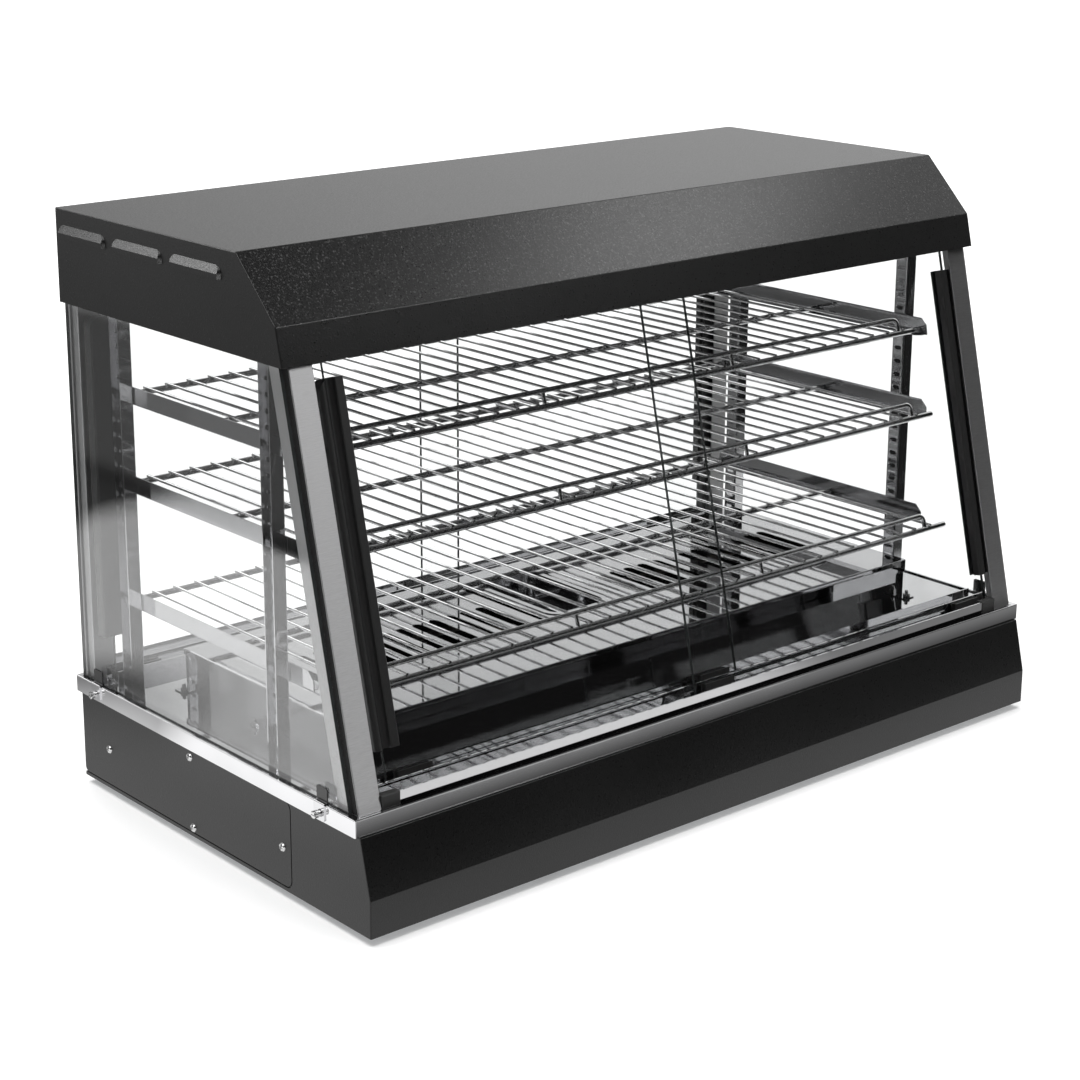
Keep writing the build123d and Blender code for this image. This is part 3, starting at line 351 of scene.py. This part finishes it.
def material_for(node):
    s = slot_of[node]
    if s == "clear_glass":
        if node.startswith("side"):
            return glass_side
        return glass_front if node.startswith("front") else glass_rear
    if node.startswith("slotted"):
        return strip_mat
    if node.startswith("shelf_rail"):
        return rail_mat
    if node == "glass_clips":
        return clip_mat
    if node == "hood_liner":
        return shaded_liner_mat
    if node in ("deck_cover", "water_pan", "deck_frame"):
        return deck_mat
    if node in ("tray", "front_track", "rear_track"):
        return tray_mat
    return M[s]


for name, o in nodes.items():
    mt = material_for(name)
    if not o.material_slots:
        o.data.materials.append(mt)
    for ms in o.material_slots:
        ms.material = mt

# ------------------------------------------------------------------ trim added around the frame

def mesh_obj(name, verts, faces, mat, body):
    me = bpy.data.meshes.new(name)
    me.from_pydata([tuple(v) for v in verts], [], faces)
    me.update()
    o = bpy.data.objects.new(name, me)
    scene.collection.objects.link(o)
    me.materials.append(mat)
    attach(o, body)
    return o


def front_plane(z):
    return -227.5 + 0.236 * (z - 110.0)


gasket_mat = mat_plastic("gasket_black", (0.012, 0.012, 0.012), 0.5, 0.7, 500, 0.1, 0.3)
for side, tag in ((-1, "left"), (1, "right")):
    # sealing strip between each side pane and the web of its front post
    x0, x1 = side * 452.55, side * 452.98
    ring = [(front_plane(110.5) + 0.5, 110.5), (front_plane(110.5) + 13.5, 110.5), (front_plane(499.5) + 13.5, 499.5), (front_plane(499.5) + 0.5, 499.5)]
    vs = [P(x0, y, z) for y, z in ring] + [P(x1, y, z) for y, z in ring]
    fs = [(0, 1, 2, 3), (7, 6, 5, 4), (0, 4, 5, 1), (1, 5, 6, 2), (2, 6, 7, 3), (3, 7, 4, 0)]
    g = mesh_obj("side_glass_gasket_" + tag, vs, fs, gasket_mat, "cabinet")



def mark(name, text, x, z, size, mat, body="cabinet"):
    """A printed mark on the rear control plate, read from behind."""
    cu = bpy.data.curves.new(name, "FONT")
    cu.body = text
    cu.size = size / 1000.0
    cu.align_x, cu.align_y = "CENTER", "CENTER"
    cu.extrude = 0.00003
    cu.resolution_u = 3
    t = bpy.data.objects.new(name + "_curve", cu)
    scene.collection.objects.link(t)
    bpy.context.view_layer.update()
    me = bpy.data.meshes.new_from_object(t)
    bpy.data.objects.remove(t)
    o = bpy.data.objects.new(name, me)
    scene.collection.objects.link(o)
    me.materials.clear()
    me.materials.append(mat)
    frame_m = Matrix(((-1, 0, 0), (0, 0, 1), (0, 1, 0))).to_4x4()
    o.matrix_world = Matrix.Translation(P(x, 241.2 + 0.04, z)) @ frame_m
    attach(o, body)
    return o


ink = mat_plastic("printed_ink", (0.015, 0.015, 0.015), 0.45, 0.6, 700, 0.02, 0.3)
for k in range(6):
    ang = math.radians(60 * k)
    mark("dial_mark_%d" % k, str(k), 352.0 - 21.7 * math.sin(ang), 46.0 + 21.7 * math.cos(ang), 4.2, ink)
for tag, x in (("power", 286.0), ("light", 246.0)):
    mark("on_mark_" + tag, "ON", x, 66.2, 4.6, ink)
    mark("off_mark_" + tag, "OFF", x, 25.8, 4.6, ink)

# ------------------------------------------------------------------ stage, light and camera

bpy.ops.mesh.primitive_plane_add(size=60, location=(0, 0, 0))
floor = bpy.context.object
floor.name = "floor"
fm, nt, out = new_mat("floor_paper")
d = N(nt, "ShaderNodeBsdfDiffuse")
d.inputs["Color"].default_value = (0.9, 0.9, 0.9, 1)
L(nt, d.outputs[0], out.inputs["Surface"])
floor.data.materials.append(fm)
floor.visible_glossy = False

# what the polished faces see of the table: a bright sheet beside and behind the cabinet, a dim one in front
bpy.ops.mesh.primitive_plane_add(size=60, location=(0, 0, -0.0005))
card = bpy.context.object
card.name = "table_card"
cm, nt, out = new_mat("table_card")
tcn = N(nt, "ShaderNodeTexCoord")
sx = N(nt, "ShaderNodeSeparateXYZ")
L(nt, tcn.outputs["Object"], sx.inputs[0])


def step(src, a, b, lo, hi):
    m = N(nt, "ShaderNodeMapRange"); m.interpolation_type = "SMOOTHSTEP"
    m.inputs["From Min"].default_value = a; m.inputs["From Max"].default_value = b
    m.inputs["To Min"].default_value = lo; m.inputs["To Max"].default_value = hi
    L(nt, src, m.inputs["Value"])
    return m.outputs[0]


def times(a, b):
    m = N(nt, "ShaderNodeMath", operation="MULTIPLY")
    L(nt, a, m.inputs[0]); L(nt, b, m.inputs[1])
    return m.outputs[0]


def most(a, b):
    m = N(nt, "ShaderNodeMath", operation="MAXIMUM")
    L(nt, a, m.inputs[0]); L(nt, b, m.inputs[1])
    return m.outputs[0]


ex, ey = sx.outputs["X"], sx.outputs["Y"]
lit_left = times(times(step(ex, -1.08, -1.035, 0, 1), step(ex, -0.62, -0.40, 1, 0)), times(step(ey, -0.60, -0.45, 0, 1), step(ey, 1.0, 1.15, 1, 0)))
slant = N(nt, "ShaderNodeMath", operation="MULTIPLY_ADD")
slant.inputs[1].default_value = 1.213
L(nt, ex, slant.inputs[0]); L(nt, ey, slant.inputs[2])
lit_left = times(lit_left, step(slant.outputs[0], -0.11, -0.04, 1, 0))
# painted shadow: a dim patch behind the left end of the base, where the floor's shadow beside the base shows in the
# polished faces
off = N(nt, "ShaderNodeVectorMath", operation="DISTANCE")
off.inputs[1].default_value = (-0.53, 0.44, 0.0)
L(nt, tcn.outputs["Object"], off.inputs[0])
lit_left = times(lit_left, step(off.outputs["Value"], 0.08, 0.22, 0.12, 1.0))
lit_near = times(step(ey, -0.415, -0.355, 0, 1), step(ey, 0.35, 0.6, 1, 0.22))
mul_out = most(lit_left, times(lit_near, step(ex, -0.75, -0.5, 0, 0.75)))
mul_out = most(mul_out, times(times(step(ey, -0.452, -0.412, 0.17, 0.06), step(ey, -0.50, -0.47, 0.08, 1.0)), step(ex, -1.1, -1.0, 0.7, 1.0)))
mul_out = most(mul_out, times(step(ex, -1.15, -1.05, 0.15, 0.0), step(ey, 0.55, 0.85, 0.0, 1.0)))
lit_corner = times(times(step(ex, -2.4, -2.1, 0, 1), step(ex, -1.3, -1.1, 1, 0)), times(step(ey, -2.3, -2.1, 0, 1), step(ey, -1.35, -1.15, 1, 0)))
mul_out = most(mul_out, lit_corner)
# a narrow bright strip in front, seen by the face of the front track
lit_strip = times(times(step(ey, -0.500, -0.482, 0, 1), step(ey, -0.4500, -0.4475, 1, 0)), times(step(ex, 0.22, 0.46, 0.62, 0.16), step(ex, -0.45, -0.35, 0, 1)))
mul_out = most(mul_out, lit_strip)
mul_out = most(mul_out, times(step(ex, -1.72, -1.60, 0.38, 0.0), step(ey, -0.2, 0.2, 0.0, 1.0)))
em = N(nt, "ShaderNodeEmission")
L(nt, mul_out, em.inputs["Color"])
em.inputs["Strength"].default_value = 1.25
L(nt, em.outputs[0], out.inputs["Surface"])
card.data.materials.append(cm)
for flag in ("camera", "diffuse", "transmission", "shadow", "volume_scatter"):
    setattr(card, "visible_" + flag, False)

world = bpy.data.worlds.new("studio")
scene.world = world
world.use_nodes = True
wt = world.node_tree
wt.nodes.clear()
wo = wt.nodes.new("ShaderNodeOutputWorld")
tc = wt.nodes.new("ShaderNodeTexCoord")


def lobe(direction, p0, p1, lo, hi):
    """Brightness that rises from lo to hi as a direction turns from cosine p0 to p1 of the given one."""
    dt = wt.nodes.new("ShaderNodeVectorMath"); dt.operation = "DOT_PRODUCT"
    dt.inputs[1].default_value = Vector(direction).normalized()
    L(wt, tc.outputs["Generated"], dt.inputs[0])
    mr = wt.nodes.new("ShaderNodeMapRange"); mr.interpolation_type = "SMOOTHSTEP"
    mr.inputs["From Min"].default_value = p0; mr.inputs["From Max"].default_value = p1
    mr.inputs["To Min"].default_value = lo; mr.inputs["To Max"].default_value = hi
    L(wt, dt.outputs["Value"], mr.inputs["Value"])
    return mr.outputs["Result"]


def add(a, b):
    m = wt.nodes.new("ShaderNodeMath"); m.operation = "ADD"
    L(wt, a, m.inputs[0]); L(wt, b, m.inputs[1])
    return m.outputs[0]


back = lobe((0.72, 0.68, 0.12), 0.15, 0.97, 0.008, 0.45)
back_right = lobe((0.85, 0.52, 0.05), 0.78, 0.99, 0.0, 0.60)
top = lobe((-0.55, -0.05, 0.83), 0.86, 0.975, 0.0, 3.0)
right_up = lobe((0.93, 0.02, 0.37), 0.88, 0.985, 0.0, 1.0)
back_left = lobe((0.0, 0.74, 0.67), 0.90, 0.985, 0.0, 2.2)
left_low = lobe((-0.61, 0.73, 0.31), 0.92, 0.98, 0.0, 0.22)
env = add(add(add(add(add(back, top), right_up), back_left), back_right), left_low)
bg_env = wt.nodes.new("ShaderNodeBackground")
L(wt, env, bg_env.inputs["Color"])
bg_cam = wt.nodes.new("ShaderNodeBackground"); bg_cam.inputs["Color"].default_value = (1, 1, 1, 1); bg_cam.inputs["Strength"].default_value = 1.0
bg_dif = wt.nodes.new("ShaderNodeBackground"); bg_dif.inputs["Color"].default_value = (0.75, 0.75, 0.75, 1)
lp = wt.nodes.new("ShaderNodeLightPath")
mg = wt.nodes.new("ShaderNodeMixShader")
L(wt, lp.outputs["Is Glossy Ray"], mg.inputs["Fac"])
L(wt, bg_dif.outputs[0], mg.inputs[1]); L(wt, bg_env.outputs[0], mg.inputs[2])
mxs = wt.nodes.new("ShaderNodeMixShader")
L(wt, lp.outputs["Is Camera Ray"], mxs.inputs["Fac"])
L(wt, mg.outputs[0], mxs.inputs[1]); L(wt, bg_cam.outputs[0], mxs.inputs[2])
L(wt, mxs.outputs[0], wo.inputs["Surface"])


def area(name, loc, target, size, power, size_y=None, spread=math.pi):
    ld = bpy.data.lights.new(name, "AREA")
    ld.energy = power
    ld.shape = "RECTANGLE"
    ld.size = size
    ld.size_y = size_y or size
    ld.spread = spread
    o = bpy.data.objects.new(name, ld)
    scene.collection.objects.link(o)
    o.location = loc
    o.rotation_euler = (Vector(target) - Vector(loc)).to_track_quat("-Z", "Y").to_euler()
    o.visible_camera = False
    return o


sun = bpy.data.lights.new("overhead", "SUN")
sun.energy = 3.1
sun.angle = math.radians(60)
so = bpy.data.objects.new("overhead", sun)
scene.collection.objects.link(so)
so.visible_glossy = False
so.rotation_euler = Vector((0.05, -0.12, -1)).to_track_quat("-Z", "Y").to_euler()
strip_light = area("front_strip", (1.5, -2.3, 2.2), (-0.2, -0.1, 0.3), 0.5, 20, 1.6)


def light_only(lamp, names):
    """The lamp reaches only these pieces, as a flagged studio light does."""
    c = bpy.data.collections.new(lamp.name + "_receivers")
    for nm in names:
        c.objects.link(nodes[nm])
    lamp.light_linking.receiver_collection = c


light_only(strip_light, ("front_post_left", "front_door_handle_left", "track_stop_blocks", "hood_shell", "base_housing", "clip_thumb_screws"))
slope_box = area("slope_box", (0.73, -0.31, 1.31), (0.1, -0.1, 0.565), 0.34, 1.45, 0.34)
light_only(slope_box, ("hood_shell",))
louvre_box = area("louvre_box", (-1.19, 0.94, 0.89), (-0.46, 0.05, 0.57), 0.4, 3.6, 0.4)
light_only(louvre_box, ("hood_shell", "rear_post_left", "slotted_strips_left"))
corner_box = area("corner_box", (-1.6, -1.55, 0.06), (-0.46, 0.05, 0.57), 0.7, 9.0, 0.7)
light_only(corner_box, ("hood_shell",))

cam_data = bpy.data.cameras.new("cam")
cam = bpy.data.objects.new("cam", cam_data)
scene.collection.objects.link(cam)
F_PX = 2385.9398257477906
C = (-1607.5207364244789, -1792.9219086, 972.0319690534711)
R = [[0.768841582930059, -0.6394391832819588, -0.0003888975476774026],
     [-0.17703530038163984, -0.21227719262283795, -0.9610394871757085],
     [0.6144437507017088, 0.7389559691726347, -0.27641084068420385]]
right, down, fwd = (Vector(r).normalized() for r in R)
rot = Matrix((right, -down, -fwd)).transposed()
cam.matrix_world = Matrix.Translation(P(*C)) @ rot.to_4x4()
cam_data.sensor_width = 36.0
cam_data.lens = F_PX / 1080.0 * 36.0
cam_data.shift_x = 0.05
cam_data.shift_y = -0.05
cam_data.clip_end = 200
scene.camera = cam

scene.view_settings.view_transform = "Standard"
scene.view_settings.look = "None"
scene.view_settings.exposure = 0.0
scene.view_settings.gamma = 1.0
